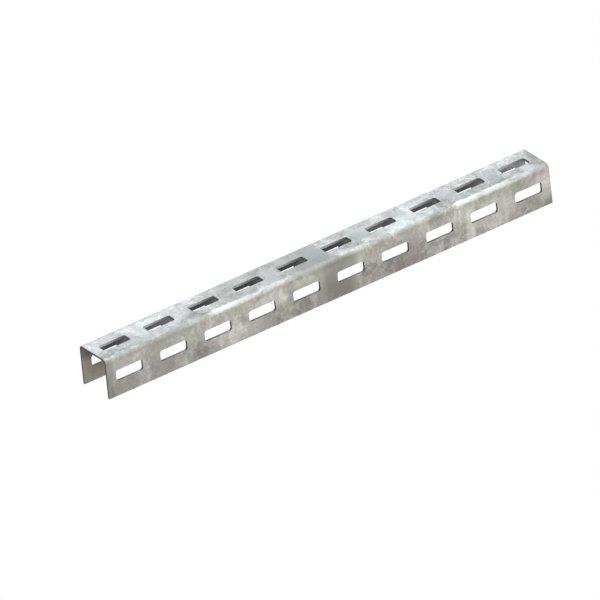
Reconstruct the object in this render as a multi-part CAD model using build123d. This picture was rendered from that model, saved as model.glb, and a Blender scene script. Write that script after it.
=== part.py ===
"""Slotted strut channel: a plain U section bent from galvanised steel sheet, cut to half a metre.

Units are millimetres. +X runs along the channel, +Y across it and +Z up. The origin is at the middle
of the length and the width, at the level of the feet. The web is on top and the two flanges stand on
their free edges, so the section opens downward. One row of slots runs along each of the three walls.
"""

import os

from build123d import *

# ---- Section ----
WIDTH = 41.0  # across the outside of the two flanges
HEIGHT = 41.0  # from the feet to the outside of the web
SHEET = 2.5  # thickness of the steel sheet
BEND_INSIDE = 2.0  # inside radius of the two bends

# ---- Length ----
LENGTH = 500.0  # between the two cut ends

# ---- Slots ----
SLOT_PITCH = 50.0  # centre to centre along the channel
SLOT_LENGTH = 30.0  # along the channel
SLOT_WIDTH = 11.0  # across the wall, clearance for an M10 bolt
SLOT_CORNER = 2.5  # radius of the punch's corners
FLANGE_SLOT_RISE = 20.5  # from the feet to the centre line of the flange slots
END_TO_SLOT = 25.0  # least distance from a cut end to the centre of the first slot

# ---- Edges ----
EDGE_BREAK = 0.2  # width of the soft edge on the feet, the cut ends and the outer slot rims

# ---- Worked out from the sizes above ----
BEND_OUTSIDE = BEND_INSIDE + SHEET
INNER_WIDTH = WIDTH - 2 * SHEET
INNER_HEIGHT = HEIGHT - SHEET
SLOT_COUNT = int((LENGTH - 2 * END_TO_SLOT) / SLOT_PITCH) + 1


def bent_section():
    """The U at the left-hand cut end: one sheet thickness between two outlines with concentric bends."""
    with BuildSketch(Plane.YZ.offset(-LENGTH / 2)) as section:
        with Locations((0, HEIGHT / 2)):
            Rectangle(WIDTH, HEIGHT)
        fillet(section.vertices().group_by(Axis.Y)[-1], BEND_OUTSIDE)
        with BuildSketch(mode=Mode.SUBTRACT) as hollow:
            with Locations((0, INNER_HEIGHT / 2)):
                Rectangle(INNER_WIDTH, INNER_HEIGHT)
            fillet(hollow.vertices().group_by(Axis.Y)[-1], BEND_INSIDE)
    return section.sketch


def slot_row(wall_plane):
    """The row of slots in one wall, as punches that run from its outer face into the hollow."""
    with BuildPart() as punches:
        with BuildSketch(wall_plane):
            with GridLocations(SLOT_PITCH, 0, SLOT_COUNT, 1):
                RectangleRounded(SLOT_LENGTH, SLOT_WIDTH, SLOT_CORNER)
        extrude(amount=-2 * SHEET)
    return punches.part


def slotted_channel():
    """The bent sheet with its three rows of slots, all edges still sharp."""
    web = Plane(origin=(0, 0, HEIGHT), x_dir=(1, 0, 0), z_dir=(0, 0, 1))
    front = Plane(origin=(0, -WIDTH / 2, FLANGE_SLOT_RISE), x_dir=(1, 0, 0), z_dir=(0, -1, 0))
    back = Plane(origin=(0, WIDTH / 2, FLANGE_SLOT_RISE), x_dir=(1, 0, 0), z_dir=(0, 1, 0))
    body = extrude(bent_section(), amount=LENGTH)
    for wall in (web, front, back):
        body -= slot_row(wall)
    return body


def soft_edges(body):
    """The edges that shearing and punching roll over: both ends, the feet and the outer slot rims."""
    ends = body.faces().filter_by(Axis.X).group_by(Axis.X)
    feet = body.faces().filter_by(Axis.Z).group_by(Axis.Z)[0]
    edges = ends[0].edges() + ends[-1].edges() + feet.edges()
    across = body.faces().filter_by(Axis.Y).sort_by(Axis.Y)
    web = body.faces().filter_by(Axis.Z).sort_by(Axis.Z)[-1]
    for outer_face in (across[0], across[-1], web):
        for rim in outer_face.inner_wires():
            edges += rim.edges()
    return ShapeList(set(edges))


def channel():
    """The finished channel: the slotted section with its cut edges broken."""
    sharp = slotted_channel()
    return sharp.chamfer(EDGE_BREAK, None, soft_edges(sharp))


os.makedirs("parts", exist_ok=True)
export_step(channel(), "parts/channel.step")
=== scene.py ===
"""Finish, floor, lights and camera for the slotted strut channel.

Everything is in metres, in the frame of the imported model: +X along the channel, +Y across it towards the
back flange, +Z up, with the origin on the floor under the middle of the channel.
"""
import math

import bpy
from mathutils import Matrix, Vector


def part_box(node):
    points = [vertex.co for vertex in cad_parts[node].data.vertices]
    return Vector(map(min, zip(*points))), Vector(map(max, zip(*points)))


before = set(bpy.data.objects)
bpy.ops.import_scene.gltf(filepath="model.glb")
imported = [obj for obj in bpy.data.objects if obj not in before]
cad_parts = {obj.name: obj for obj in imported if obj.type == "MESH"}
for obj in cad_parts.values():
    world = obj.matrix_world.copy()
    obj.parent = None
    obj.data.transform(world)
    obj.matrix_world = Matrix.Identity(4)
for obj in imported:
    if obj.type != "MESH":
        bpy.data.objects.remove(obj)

MM = 0.001

# ---- The channel, read from the frame ----
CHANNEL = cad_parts["channel"]
CHANNEL_LOW, CHANNEL_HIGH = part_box("channel")
CHANNEL_MIDDLE = (CHANNEL_LOW + CHANNEL_HIGH) / 2
HALF_LENGTH, HALF_WIDTH, WEB_HEIGHT = CHANNEL_HIGH
SHEET = 2.5 * MM  # thickness of the sheet
BEND = 4.5 * MM  # outside radius of the bends
SLOT_PITCH = 50 * MM
SKIN = 0.6 * SHEET  # what lies deeper in the sheet than this is the inside
END_DEPTH = 1 * MM  # how near the end of the channel its cut faces are

# ---- Camera: a parallel projection, turned a little about its own axis ----
VIEW_AZIMUTH = -32.75  # degrees round the channel, 0 looking along +Y
VIEW_ELEVATION = 29.73  # degrees above the floor
VIEW_ROLL = -6.25  # degrees, the picture's upright leaning left
PICTURE_WIDTH = 0.5462  # metres across the picture
PICTURE_PIXELS = 600
MIDDLE_PIXEL = (315.98, 273.72)  # where the channel's middle falls in the picture, from its top left corner
CAMERA_DISTANCE = 2.0

# ---- Surroundings ----
BLACK = (0.0, 0.0, 0.0)
WHITE = (1.0, 1.0, 1.0)
FLOOR_SIDE = 8.0
FLOOR_GLOW = 1.0  # just white in the picture, and no brighter
SKY_LOW = (0.45, 0.37, 0.25)  # at the horizon
SKY_HIGH = (1.24, 1.35, 1.40)  # overhead
KEY_PLACE = (0.45, -0.12, 1.5)
KEY_SIDE = 0.9
KEY_WATTS = 15.6
KEY_COLOUR = (0.95, 1.0, 1.03)

# ---- Colours of the zinc, the painted shade inside, and tints that multiply them ----
ZINC_FROST = (0.81, 0.82, 0.82)
ZINC_DULL = (0.235, 0.230, 0.220)
# painted shade: the colour the inside is darkened towards
INSIDE_PAINTED_SHADE = (0.071, 0.077, 0.079)
LAVENDER_TINT = (0.98, 0.98, 1.025)  # on the web
MINT_TINT = (0.975, 1.02, 1.01)
ROSY_TINT = (1.02, 0.98, 0.99)  # on the flanges
OLIVE_TINT = (0.985, 1.005, 0.955)
UPPER_FLANGE_TINT = (1.02, 1.0, 0.95)
LOWER_FLANGE_TINT = (1.015, 0.985, 0.96)
OPEN_END_TINT = (1.0, 0.95, 0.90)  # tint of the painted shade inside, by the left end
# tint of the painted shade deeper inside
DEEP_INSIDE_TINT = (0.96, 1.0, 1.03)
FLOORLIT_TINT = (1.06, 0.99, 0.92)  # inside, near the feet

# ---- Colours of the cut faces: the channel's ends, and the slots' walls, darker sheared steel with painted shade ----
# the channel's ends: sheared steel darkened with painted shade
CUT_END_AND_SHADE = (0.08, 0.078, 0.073)
WEB_SLOT_LEFT_SHADING = (0.68, 0.70, 0.70)  # the long walls, paler or darker from left to right with painted light and shade
WEB_SLOT_RIGHT_SHADING = (0.20, 0.206, 0.205)
FLANGE_SLOT_LEFT_SHADING = (0.113, 0.110, 0.104)
FLANGE_SLOT_RIGHT_SHADING = (0.34, 0.333, 0.32)
WEB_SLOT_END_AND_SHADE = (0.115, 0.115, 0.112)  # the short walls, darkened with painted shade
FLANGE_SLOT_END_AND_SHADE = (0.03, 0.028, 0.025)

# ---- Patterns in the zinc: features to the metre, detail, roughness and distortion ----
WANDER = (40.0, 2.0, 0.5)  # bends the other patterns
CLOUDS = (22.0, 1.0, 0.5, 0.3)
FROST = (130.0, 4.0, 0.62, 0.9)
STREAKS = (160.0, 3.0, 0.55, 0.5)
STROKES = (120.0, 2.0, 0.6, 0.8)
FLECKS = (520.0, 3.0, 0.6)
TINTS = (34.0, 2.0, 0.5, 0.8)
BREAKS = (95.0, 4.0, 0.6, 0.8)  # gaps in the pale runs on the bends
SPANGLES = (52.0, 0.15)  # cells to the metre, smoothness
SMALL_SPANGLES = (120.0, 0.2)
WANDER_REACH = 16 * MM
# Scale along, across and up, less than 1 where the features are longer
SPANGLE_SCALE = (1.0, 1.0, 0.6)
STREAK_SCALE = (1.0, 1.0, 0.3)
STROKE_SCALE = (0.8, 1.0, 0.8)
BREAK_SCALE = (0.45, 1.0, 1.0)

# ---- How strongly each pattern shows in the tone, from 0 for dull zinc to 1 for frosted ----
CLOUD_CONTRAST = 0.3
SPANGLE_CONTRAST = 0.21
SMALL_SPANGLE_CONTRAST = 0.18
FROST_CONTRAST = 0.30
STREAK_CONTRAST = 0.42
FLECK_CONTRAST = 0.5
FLAKE_STRENGTH = 0.12
ISLAND_STRENGTH = 0.02
# Pairs: on the flanges, on the web
FINE_STRENGTH = (1.18, 0.5)
STROKE_STRENGTH = (0.15, 0.25)
DARK_STRENGTH = (0.6, 1.0)  # of what is darker than the mean
MEAN_TONE = (0.245, 0.26)

# ---- Ramps: from here, to there, the value here, the value there (0 and 1 if not given) ----
BEND_BLEND = (-2 * MM, 2 * MM)  # from flange to web, past the middle of the bend
WEB_PATCHES_BLEND = (0.0, 4 * MM)  # past the middle of the bend
WEB_SLOPE = (-10 * MM, 9 * MM, -0.06, 0.03)  # tone across the web
FLANGE_SLOPE = (7 * MM, 32 * MM, -0.085, 0.05)  # tone up the flanges
FLANGE_TOP_SLOPE = (31 * MM, 37 * MM, 0.0, -0.05)
FLANGE_TINT_SLOPE = (34 * MM, 4 * MM)
FLAKE_RAMP = (0.5, 0.66)  # of the frost's noise
STROKE_RAMP = (0.05, 0.0)  # of the strokes' noise, from its middle value
STROKES_IN_CLOUDS = (0.42, 0.6, 0.3, 1.0)
ROSY_RAMP = (0.48, 0.66)  # of the tints' noise
OLIVE_RAMP = (0.52, 0.36)
UPPER_INSIDE = (12 * MM, 24 * MM)  # by height
LOWER_INSIDE = (24 * MM, 12 * MM)
INSIDE_SHADE_BY_HEIGHT = (4 * MM, 28 * MM, 0.2, 0.83)  # how strong the painted shade inside is, by height
OPEN_END_ALONG = (-205 * MM, -250 * MM)  # the left end, whose inside is seen, where the painted shade fades
# the painted shade at the open end fades low down and deepens a little at the top
OPEN_END_UP = (19 * MM, 33 * MM, 0.95, -0.08)
LESS_SHADE_RIGHT_END = (160 * MM, 240 * MM, 0.0, 0.76)  # painted shade lessened inside the back flange, towards the right end
LESS_SHADE_BETWEEN_SLOTS = (15 * MM, 24 * MM, 1.0, 0.64)  # painted shade lessened between the slots, by distance from the middle of a slot
# painted shade a little deeper under the middle of each slot
MORE_SHADE_AT_SLOTS = (4 * MM, 14 * MM, 1.09, 1.0)
FROM_LEFT_END = (-238 * MM, -215 * MM)  # from the open end's tint of the painted shade to that of the deep inside
FLOORLIT_ALONG = (-190 * MM, -240 * MM, 0.45, 1.0)
CUT_FACING = (0.5, 0.2)  # how far a face looks out of its wall, which is little on a cut face
END_FACING = (0.75, 0.95)  # how far a face looks along the channel
SLOT_CORNER_BLEND = (0.2, 0.75)  # the same, from a slot's long walls round its corners to its short ones
OVER_SLOT = (-16 * MM, 16 * MM)  # from a slot's left end to its right, over which the long walls' painted light and shade change

# ---- The smooth stretch at mid-length, and others where the patterns are fainter ----
CALM_ON_WEB = -13 * MM  # the middle of the smooth stretch
CALM_ON_FLANGE = 11 * MM
CALM_RAMP = (18 * MM, 26 * MM, 0.2, 1.0)
ISLAND_ALONG = 10  # reaches of the smooth islands between the web's slots, in mm
ISLAND_ACROSS = 14
ISLANDS_BEGIN = (-95 * MM, -70 * MM)
ISLAND_CALM = 0.65
ISLAND_TINT = 0.8
LEFT_END_RAMP = (-206 * MM, -232 * MM)
LEFT_END_CALM = 0.6
# Middle and reach along in mm, how much fainter
SETTLED_ON_WEB = [(-92, 32, 0.4)]
SETTLED_ON_FLANGE = [(-182, 20, 0.4), (34, 12, 0.4), (88, 16, 0.5)]
# Stretches of the back flange's inside with less painted shade: middle and reach along in mm, how much less
# dark
LESS_SHADE_INSIDE = [(-163, 26, 0.42), (78, 18, 0.40), (134, 24, 0.12)]

# ---- Soft patches in the zinc, at listed places ----
# Middle along, middle across or height, reach along, reach across, all in mm, and how much paler the zinc
# is there, or duller below 0
WEB_PATCHES = [
    (-184, -3, 34, 24, 0.20),
    (84, -8, 28, 14, 0.24),
    (76, 7, 16, 12, 0.12),
    (113, -6, 14, 22, 0.20),
    (-246, 2, 9, 18, 0.13),
    (-10, 0, 25, 60, -0.13),
    (-139, -15, 12, 12, -0.10),
    (-236, -14, 18, 8, -0.18),
    (140, -14, 12, 16, -0.18),
    (-95, -14, 36, 10, -0.08),
    (205, 0, 62, 40, -0.07),
    (234, -12, 11, 9, 0.28),
    (249, 7, 7, 15, -0.18),
]
FLANGE_PATCHES = [
    (-98, 8, 38, 13, 0.21),
    (-64, 28, 24, 11, 0.24),
    (160, 14, 9, 26, 0.26),
    (190, 16, 30, 22, 0.24),
    (-28, 31, 13, 8, 0.16),
    (243, 22, 18, 18, 0.20),
    (-107, 17, 3, 15, 0.14),
    (-52, 24, 4, 14, 0.16),
    (37, 14, 3, 20, 0.14),
    (11, 20, 23, 60, -0.17),
    (-146, 8, 9, 12, -0.14),
    (47, 17, 10, 9, -0.18),
    (96, 12, 44, 26, -0.12),
    (-250, 20, 8, 40, -0.14),
    (248, 2, 13, 10, -0.20),
]
SPOT_RIM = (1.0, 0.2)  # by the squared distance from a patch's middle, in reaches

# ---- Pale runs on the near bend, partly thicker zinc and partly a painted highlight: start and length in mm, strength ----
BEND_RUNS_AND_HIGHLIGHT = [(-134, 110, 0.86), (141, 110, 0.82), (20, 42, 0.35)]
RUN_ONSET = 10 * MM  # over which a run begins
RUN_WANDER = 4 * MM  # how far the frost moves its rim
RUN_FROM_CORNER = (-5.6 * MM, -3.4 * MM)
RUN_FROM_FLANGE = (-5 * MM, -1 * MM)
RUN_EVERYWHERE = 0.06  # strength of the thin runs all along both bends, thicker zinc with a painted highlight
BREAK_RAMP = (0.25, 0.55)

# ---- Gloss and relief ----
METALLIC = 0.2
SPECULAR = 0.2
ROUGHNESS = 0.58
SPANGLE_ROUGHNESS = 0.14
FROST_ROUGHNESS = 0.25
BEND_ROUGHNESS = (-8 * MM, -3 * MM, 0.0, 0.12)
CUT_ROUGHNESS = 0.2
CUT_COVER = 0.9  # share of the cut faces' own colour, with its painted shade
FROST_RELIEF = 0.6
FLECK_RELIEF = 0.12
BUMP_STRENGTH = 0.3
BUMP_DEPTH = 0.2 * MM


# =====================================================================================================
# Small tools for shader nodes
# =====================================================================================================
class Graph:
    """Adds nodes to one node tree. An input is a number, a tuple or another node's output."""

    def __init__(self, tree):
        self.tree = tree

    def node(self, kind, inputs=None, **settings):
        made = self.tree.nodes.new(kind)
        for name, value in settings.items():
            setattr(made, name, value)
        for name, value in (inputs or {}).items():
            self.feed(made.inputs[name], value)
        return made

    def feed(self, socket, value):
        if isinstance(value, bpy.types.NodeSocket):
            self.tree.links.new(value, socket)
        else:
            socket.default_value = value

    def math(self, operation, a, b=0.0, clamp=False):
        return self.node("ShaderNodeMath", {0: a, 1: b}, operation=operation, use_clamp=clamp).outputs[0]

    def add(self, a, b, clamp=False):
        return self.math("ADD", a, b, clamp)

    def subtract(self, a, b, clamp=False):
        return self.math("SUBTRACT", a, b, clamp)

    def multiply(self, a, b):
        return self.math("MULTIPLY", a, b)

    def highest(self, a, b):
        return self.math("MAXIMUM", a, b)

    def absolute(self, a):
        return self.math("ABSOLUTE", a)

    def below(self, a, limit):
        return self.math("LESS_THAN", a, limit)

    def above(self, a, limit):
        return self.math("GREATER_THAN", a, limit)

    def rest(self, a):
        """What a leaves of 1."""
        return self.subtract(1.0, a)

    def product(self, first, *others):
        for other in others:
            first = self.multiply(first, other)
        return first

    def fade(self, value, *shares):
        """value, less the share of it that the shares give when multiplied together."""
        return self.multiply(value, self.rest(self.product(*shares)))

    def centred(self, value, strength):
        """A pattern that runs from 0 to 1, moved to lie about 0 and scaled."""
        return self.multiply(self.subtract(value, 0.5), strength)

    def ramp(self, value, low, high, to_low=0.0, to_high=1.0):
        """Smooth step from to_low, where value is low, to to_high, where it is high."""
        made = self.node(
            "ShaderNodeMapRange",
            {"Value": value, "From Min": low, "From Max": high, "To Min": to_low, "To Max": to_high},
            interpolation_type="SMOOTHSTEP",
        )
        return made.outputs["Result"]

    def mix(self, factor, a, b, blend="MIX"):
        """Colour a where factor is 0, b where it is 1. The node's colours are inputs 6, 7 and output 2."""
        made = self.node("ShaderNodeMix", data_type="RGBA", blend_type=blend, clamp_factor=True)
        self.feed(made.inputs[0], factor)
        self.feed(made.inputs[6], (*a, 1.0) if isinstance(a, tuple) else a)
        self.feed(made.inputs[7], (*b, 1.0) if isinstance(b, tuple) else b)
        return made.outputs[2]

    def tint(self, colour, factor, by):
        """colour multiplied by another, as far as factor says."""
        return self.mix(factor, colour, by, "MULTIPLY")

    def vector(self, operation, a, b):
        return self.node("ShaderNodeVectorMath", {0: a, 1: b}, operation=operation).outputs[0]

    def axes(self, vector):
        return self.node("ShaderNodeSeparateXYZ", {0: vector}).outputs

    def channels(self, colour):
        return self.node("ShaderNodeSeparateColor", {0: colour}).outputs

    def scaled(self, point, scale):
        return self.node("ShaderNodeMapping", {"Vector": point, "Scale": scale}).outputs["Vector"]

    def noise(self, point, scale, detail, roughness, distortion=0.0, output="Fac"):
        settings = {"Scale": scale, "Detail": detail, "Roughness": roughness, "Distortion": distortion}
        return self.node("ShaderNodeTexNoise", {"Vector": point, **settings}).outputs[output]

    def cells(self, point, scale, smoothness):
        """Soft-edged cells, each of one colour drawn at random."""
        made = self.node("ShaderNodeTexVoronoi", {"Vector": point, "Scale": scale}, feature="SMOOTH_F1")
        made.inputs["Smoothness"].default_value = smoothness
        return made.outputs["Color"]


def offset(g, value, middle, reach):
    """How far value is from middle, in reaches. Middle and reach are in mm."""
    return g.multiply(g.subtract(value, middle * MM), 1 / (reach * MM))


def soft_spot(g, *offsets):
    """1 at the middle of an oval, falling smoothly to 0 at its rim."""
    total = g.multiply(offsets[0], offsets[0])
    for further in offsets[1:]:
        total = g.add(total, g.multiply(further, further))
    return g.ramp(total, *SPOT_RIM)


def patches(g, places, along, across):
    """The sum of the soft ovals in a list of patches."""
    total = 0.0
    for middle_along, middle_across, reach_along, reach_across, strength in places:
        spot = soft_spot(
            g, offset(g, along, middle_along, reach_along), offset(g, across, middle_across, reach_across)
        )
        total = g.add(total, g.multiply(spot, strength))
    return total


def from_slot(g, along):
    """How far along the channel a place is from the middle of its slot, below 0 on the left."""
    return g.subtract(g.math("FLOORED_MODULO", along, SLOT_PITCH), SLOT_PITCH / 2)


# =====================================================================================================
# Hot-dip galvanised steel
# =====================================================================================================
class Place:
    """Where a point of the sheet is. What isn't a distance is 1 on its part of the sheet and 0 off it."""

    def __init__(self, g):
        self.g = g
        self.point = g.node("ShaderNodeTexCoord").outputs["Object"]
        self.along, self.across, self.height = g.axes(self.point)
        aside = g.absolute(self.across)

        # The section: the two walls, with a blend in the bend, and the sheet's inner side
        self.past_bend = g.subtract(g.subtract(self.height, aside), WEB_HEIGHT - HALF_WIDTH)
        self.from_corner = g.subtract(g.add(aside, self.height), WEB_HEIGHT + HALF_WIDTH)
        self.web = g.ramp(self.past_bend, *BEND_BLEND)
        self.flange = g.rest(self.web)
        between_flanges = g.below(aside, HALF_WIDTH - SKIN)
        self.inside = g.multiply(between_flanges, g.below(self.height, WEB_HEIGHT - SKIN))
        self.upper_inside = g.multiply(self.inside, g.ramp(self.height, *UPPER_INSIDE))
        self.lower_inside = g.multiply(self.inside, g.ramp(self.height, *LOWER_INSIDE))
        self.front = g.below(self.across, 0.0)
        self.back = g.above(self.across, 0.0)

        # Along the channel, in every slot's pitch
        self.from_slot = from_slot(g, self.along)

        # The same place on wandering axes, which the patterns and patches follow
        wander = g.noise(self.point, *WANDER, output="Color")
        self.bent = g.vector("ADD", self.point, g.vector("MULTIPLY", wander, (WANDER_REACH,) * 3))
        evened = g.vector("ADD", self.bent, (-WANDER_REACH / 2,) * 3)
        self.bent_along, self.bent_across, self.bent_height = g.axes(evened)

        # Faces left by the shear and the punch
        normal = g.node("ShaderNodeNewGeometry").outputs["True Normal"]
        facing_along, facing_across, facing_up = (g.absolute(part) for part in g.axes(normal))
        self.endwise = facing_along
        self.flat_web = g.below(aside, HALF_WIDTH - BEND)
        flat_flange = g.below(self.height, WEB_HEIGHT - BEND)
        cut_web = g.multiply(self.flat_web, g.ramp(facing_up, *CUT_FACING))
        cut_flange = g.multiply(flat_flange, g.ramp(facing_across, *CUT_FACING))
        self.cut = g.highest(g.ramp(self.endwise, *END_FACING), g.highest(cut_web, cut_flange))
        self.at_end = g.above(g.absolute(self.along), HALF_LENGTH - END_DEPTH)

    def by_wall(self, on_flange, on_web):
        """One value on the flanges and another on the web."""
        return self.g.ramp(self.web, 0.0, 1.0, on_flange, on_web)


class Patterns:
    """The zinc's patterns, from the largest to the finest."""

    def __init__(self, g, at):
        self.clouds = g.noise(at.point, *CLOUDS)
        cell_point = g.scaled(at.bent, SPANGLE_SCALE)
        self.spangles, self.spangle_gloss, _ = g.channels(g.cells(cell_point, *SPANGLES))
        self.small_spangles = g.channels(g.cells(cell_point, *SMALL_SPANGLES))[0]
        self.frost = g.noise(at.bent, *FROST)
        self.streaks = g.noise(g.scaled(at.bent, STREAK_SCALE), *STREAKS)
        strokes = g.noise(g.scaled(at.bent, STROKE_SCALE), *STROKES)
        strokes = g.ramp(g.absolute(g.subtract(strokes, 0.5)), *STROKE_RAMP)
        self.strokes = g.multiply(strokes, g.ramp(self.clouds, *STROKES_IN_CLOUDS))
        self.flecks = g.noise(at.point, *FLECKS)


def smooth_islands(g, at):
    """1 on the smooth places of the web, midway between its slots, but not near the left end."""
    from_gap = g.subtract(SLOT_PITCH / 2, g.absolute(from_slot(g, at.bent_along)))
    spot = soft_spot(g, offset(g, from_gap, 0, ISLAND_ALONG), offset(g, at.bent_across, 0, ISLAND_ACROSS))
    return g.product(spot, at.web, g.ramp(at.bent_along, *ISLANDS_BEGIN))


def liveliness(g, at, islands):
    """How strongly the patterns show, from 1 down to a fifth on the smooth stretch at mid-length."""
    calm_middle = g.add(CALM_ON_FLANGE, g.multiply(at.web, CALM_ON_WEB - CALM_ON_FLANGE))
    from_calm = g.absolute(g.subtract(at.bent_along, calm_middle))
    back_flange = g.subtract(at.flange, at.front, clamp=True)
    lively = g.highest(g.ramp(from_calm, *CALM_RAMP), back_flange)
    lively = g.fade(lively, islands, ISLAND_CALM)
    for wall, stretches in ((at.web, SETTLED_ON_WEB), (at.flange, SETTLED_ON_FLANGE)):
        for middle, reach, strength in stretches:
            lively = g.fade(lively, soft_spot(g, offset(g, at.bent_along, middle, reach)), wall, strength)
    return g.fade(lively, g.ramp(at.bent_along, *LEFT_END_RAMP), at.flange, LEFT_END_CALM)


def hand_placed_patches(g, at):
    on_web = patches(g, WEB_PATCHES, at.bent_along, at.bent_across)
    on_web = g.multiply(on_web, g.ramp(at.past_bend, *WEB_PATCHES_BLEND))
    outside_front = g.subtract(at.front, at.inside, clamp=True)
    on_flange = patches(g, FLANGE_PATCHES, at.bent_along, at.bent_height)
    return g.add(on_web, g.product(on_flange, outside_front, at.flange))


def zinc_tone(g, at, zinc, islands):
    """0 where the zinc is dull to 1 where it is frosted."""
    tone = g.centred(zinc.clouds, CLOUD_CONTRAST)
    tone = g.add(tone, g.centred(zinc.spangles, SPANGLE_CONTRAST))
    tone = g.add(tone, g.centred(zinc.small_spangles, SMALL_SPANGLE_CONTRAST))
    fine = g.add(g.centred(zinc.frost, FROST_CONTRAST), g.centred(zinc.streaks, STREAK_CONTRAST))
    fine = g.multiply(fine, at.by_wall(*FINE_STRENGTH))
    flakes = g.ramp(zinc.frost, *FLAKE_RAMP)
    tone = g.add(tone, g.add(fine, g.multiply(flakes, FLAKE_STRENGTH)))
    tone = g.add(tone, g.multiply(zinc.strokes, at.by_wall(*STROKE_STRENGTH)))
    tone = g.add(tone, g.centred(zinc.flecks, FLECK_CONTRAST))
    tone = g.highest(tone, g.multiply(tone, at.by_wall(*DARK_STRENGTH)))
    tone = g.multiply(tone, liveliness(g, at, islands))

    # Broad changes, which stay where the patterns are faint
    tone = g.add(tone, g.multiply(islands, ISLAND_STRENGTH))
    tone = g.add(tone, hand_placed_patches(g, at))
    tone = g.add(tone, g.multiply(g.ramp(at.across, *WEB_SLOPE), at.web))
    up_flange = g.add(g.ramp(at.height, *FLANGE_SLOPE), g.ramp(at.height, *FLANGE_TOP_SLOPE))
    tone = g.add(tone, g.multiply(up_flange, at.flange))
    return g.add(tone, at.by_wall(*MEAN_TONE), clamp=True)


def zinc_colour(g, at, tone, islands):
    """The tone as a colour, warmer on the flanges, with faint drifts of hue."""
    colour = g.mix(tone, ZINC_DULL, ZINC_FROST)
    flange_tint = g.mix(g.ramp(at.height, *FLANGE_TINT_SLOPE), UPPER_FLANGE_TINT, LOWER_FLANGE_TINT)
    colour = g.tint(colour, g.subtract(at.flange, at.upper_inside, clamp=True), flange_tint)
    drift = g.noise(at.point, *TINTS)
    pinker = g.highest(g.ramp(drift, *ROSY_RAMP), g.multiply(islands, ISLAND_TINT))
    colour = g.tint(colour, pinker, g.mix(at.web, ROSY_TINT, LAVENDER_TINT))
    return g.tint(colour, g.ramp(drift, *OLIVE_RAMP), g.mix(at.web, OLIVE_TINT, MINT_TINT))


def pale_runs_and_highlight(g, at, zinc):
    """Where the zinc is thicker on the bends, with a painted highlight along the near bend: broken runs that
    start sharply and thin out to the right.
    """
    zinc_and_highlight = 0.0
    for start, length, strength in BEND_RUNS_AND_HIGHLIGHT:
        past_start = g.subtract(at.bent_along, start * MM)
        thinning = g.subtract(1.0, g.multiply(past_start, 1 / (length * MM)), clamp=True)
        zinc_and_highlight = g.add(zinc_and_highlight, g.product(thinning, g.ramp(past_start, 0.0, RUN_ONSET), strength))
    zinc_and_highlight = g.add(RUN_EVERYWHERE, g.multiply(zinc_and_highlight, at.front))
    on_bend = g.ramp(g.add(at.from_corner, g.centred(zinc.frost, RUN_WANDER)), *RUN_FROM_CORNER)
    on_bend = g.multiply(on_bend, g.ramp(at.past_bend, *RUN_FROM_FLANGE))
    broken = g.ramp(g.noise(g.scaled(at.bent, BREAK_SCALE), *BREAKS), *BREAK_RAMP)
    return g.product(on_bend, zinc_and_highlight, broken)


def shaded_inside(g, at, colour):
    """Darkens the inside, where little light gets in, and tints it by what lights it."""
    # painted shade: by height, less at the open end, at the right end of the back flange, in the listed
    # stretches and between the slots
    dark = g.multiply(at.inside, g.ramp(at.height, *INSIDE_SHADE_BY_HEIGHT))
    dark = g.fade(dark, g.ramp(at.along, *OPEN_END_ALONG), g.ramp(at.height, *OPEN_END_UP))
    dark = g.fade(dark, at.back, g.ramp(at.along, *LESS_SHADE_RIGHT_END))
    for middle, reach, strength in LESS_SHADE_INSIDE:
        dark = g.fade(dark, soft_spot(g, offset(g, at.bent_along, middle, reach)), at.back, strength)
    beside_slot = g.absolute(at.from_slot)
    dark = g.product(dark, g.ramp(beside_slot, *LESS_SHADE_BETWEEN_SLOTS), g.ramp(beside_slot, *MORE_SHADE_AT_SLOTS))
    colour = g.mix(dark, colour, INSIDE_PAINTED_SHADE)
    upper_tint = g.mix(g.ramp(at.along, *FROM_LEFT_END), OPEN_END_TINT, DEEP_INSIDE_TINT)
    colour = g.tint(colour, at.upper_inside, upper_tint)
    floorlit = g.multiply(at.lower_inside, g.ramp(at.along, *FLOORLIT_ALONG))
    return g.tint(colour, floorlit, FLOORLIT_TINT)


def cut_faces(g, at, colour):
    """Gives the channel's ends and the slots' walls colours of their own: darker sheared steel with painted
    shade, and painted light and shade from left to right along the slots' long walls.
    """
    over_slot = g.ramp(at.from_slot, *OVER_SLOT)
    web_wall = g.mix(over_slot, WEB_SLOT_LEFT_SHADING, WEB_SLOT_RIGHT_SHADING)
    flange_wall = g.mix(over_slot, FLANGE_SLOT_LEFT_SHADING, FLANGE_SLOT_RIGHT_SHADING)
    long_wall = g.mix(at.flat_web, flange_wall, web_wall)
    short_wall = g.mix(at.flat_web, FLANGE_SLOT_END_AND_SHADE, WEB_SLOT_END_AND_SHADE)
    end = g.mix(at.at_end, short_wall, CUT_END_AND_SHADE)
    cut_colour_and_shade = g.mix(g.ramp(at.endwise, *SLOT_CORNER_BLEND), long_wall, end)
    return g.mix(g.multiply(at.cut, CUT_COVER), colour, cut_colour_and_shade)


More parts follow.
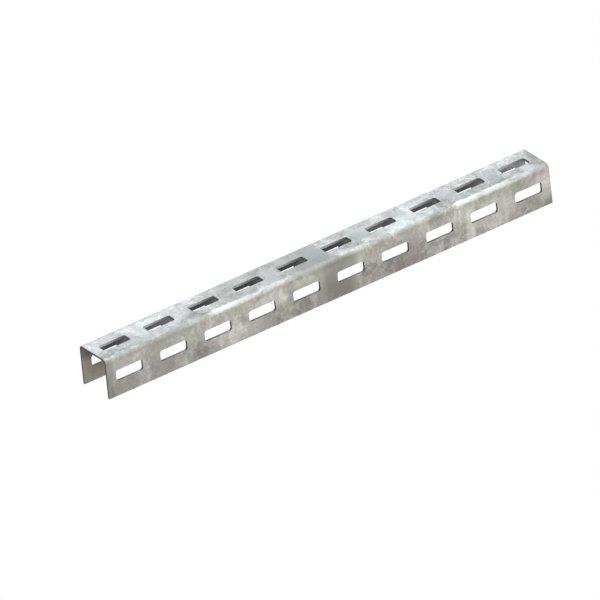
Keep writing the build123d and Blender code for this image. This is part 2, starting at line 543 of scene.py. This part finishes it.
def galvanised_steel():
    """Dull zinc: soft spangle patches, feathery frost, pale runs on the bends that are partly a painted
    highlight, painted shade inside, and darker cut faces with painted shade.
    """
    material = bpy.data.materials.new("galvanised_zinc")
    material.use_nodes = True
    material.node_tree.nodes.clear()
    g = Graph(material.node_tree)
    at = Place(g)
    zinc = Patterns(g, at)
    islands = smooth_islands(g, at)

    colour = zinc_colour(g, at, zinc_tone(g, at, zinc, islands), islands)
    # the pale runs: thicker zinc, and a painted highlight along the near bend
    colour = g.mix(pale_runs_and_highlight(g, at, zinc), colour, ZINC_FROST)
    colour = shaded_inside(g, at, colour)
    colour = cut_faces(g, at, colour)

    rough = g.add(ROUGHNESS, g.centred(zinc.spangle_gloss, SPANGLE_ROUGHNESS))
    rough = g.add(rough, g.centred(zinc.frost, FROST_ROUGHNESS))
    rough = g.add(rough, g.ramp(at.from_corner, *BEND_ROUGHNESS))
    rough = g.add(rough, g.multiply(at.cut, CUT_ROUGHNESS), clamp=True)

    relief = g.add(g.multiply(zinc.frost, FROST_RELIEF), g.multiply(zinc.flecks, FLECK_RELIEF))
    bump = g.node("ShaderNodeBump", {"Strength": BUMP_STRENGTH, "Distance": BUMP_DEPTH, "Height": relief})

    surface = g.node(
        "ShaderNodeBsdfPrincipled",
        {
            "Base Color": colour,
            "Roughness": rough,
            "Metallic": METALLIC,
            "Specular IOR Level": SPECULAR,
            "Normal": bump.outputs["Normal"],
        },
    )
    g.node("ShaderNodeOutputMaterial", {"Surface": surface.outputs[0]})
    return material


# =====================================================================================================
# Floor, light and camera
# =====================================================================================================
def make_floor():
    """A pale lit table, so that what shows through the slots is as pale as the rest."""
    half = FLOOR_SIDE / 2
    corners = [(-half, -half, 0.0), (half, -half, 0.0), (half, half, 0.0), (-half, half, 0.0)]
    mesh = bpy.data.meshes.new("floor")
    mesh.from_pydata(corners, [], [(0, 1, 2, 3)])
    floor = bpy.data.objects.new("floor", mesh)
    bpy.context.scene.collection.objects.link(floor)
    material = bpy.data.materials.new("floor")
    material.use_nodes = True
    surface = material.node_tree.nodes["Principled BSDF"]
    surface.inputs["Base Color"].default_value = (*BLACK, 1.0)
    surface.inputs["Specular IOR Level"].default_value = 0.0
    surface.inputs["Emission Color"].default_value = (*WHITE, 1.0)
    surface.inputs["Emission Strength"].default_value = FLOOR_GLOW
    mesh.materials.append(material)


def make_sky():
    """A soft dome, warm and dim at the horizon, cool and bright overhead, and white below like the floor."""
    world = bpy.data.worlds.new("studio")
    world.use_nodes = True
    g = Graph(world.node_tree)
    toward = g.axes(g.node("ShaderNodeTexCoord").outputs["Generated"])
    dome = g.mix(g.highest(toward["Z"], 0.0), SKY_LOW, SKY_HIGH)
    background = world.node_tree.nodes["Background"]
    g.feed(background.inputs["Color"], g.mix(g.above(toward["Z"], 0.0), WHITE, dome))
    bpy.context.scene.world = world


def make_key_light():
    """One large soft light overhead, to the right."""
    lamp = bpy.data.lights.new("key", "AREA")
    lamp.shape = "SQUARE"
    lamp.size = KEY_SIDE
    lamp.energy = KEY_WATTS
    lamp.color = KEY_COLOUR
    key = bpy.data.objects.new("key", lamp)
    key.location = KEY_PLACE
    key.rotation_mode = "QUATERNION"
    key.rotation_quaternion = (CHANNEL_MIDDLE - Vector(KEY_PLACE)).to_track_quat("-Z", "Y")
    bpy.context.scene.collection.objects.link(key)


def make_camera():
    """A parallel camera whose picture puts the channel's middle on MIDDLE_PIXEL."""
    azimuth, elevation, roll = (math.radians(a) for a in (VIEW_AZIMUTH, VIEW_ELEVATION, VIEW_ROLL))
    back = Vector((
        math.sin(azimuth) * math.cos(elevation),
        -math.cos(azimuth) * math.cos(elevation),
        math.sin(elevation),
    ))
    level_right = Vector((math.cos(azimuth), math.sin(azimuth), 0.0))
    level_up = back.cross(level_right)
    right = math.cos(roll) * level_right + math.sin(roll) * level_up
    up = back.cross(right)
    pixel = PICTURE_WIDTH / PICTURE_PIXELS
    aside = (MIDDLE_PIXEL[0] - PICTURE_PIXELS / 2) * pixel
    below = (MIDDLE_PIXEL[1] - PICTURE_PIXELS / 2) * pixel
    place = CHANNEL_MIDDLE - right * aside + up * below + back * CAMERA_DISTANCE

    camera = bpy.data.cameras.new("camera")
    camera.type = "ORTHO"
    camera.ortho_scale = PICTURE_WIDTH
    eye = bpy.data.objects.new("camera", camera)
    turned = Matrix((right, up, back)).transposed().to_4x4()
    eye.matrix_world = Matrix.Translation(place) @ turned
    bpy.context.scene.collection.objects.link(eye)
    bpy.context.scene.camera = eye


bpy.context.view_layer.update()

CHANNEL.data.materials[0] = galvanised_steel()
make_floor()
make_sky()
make_key_light()
make_camera()
bpy.context.scene.view_settings.view_transform = "Standard"

bpy.context.view_layer.update()
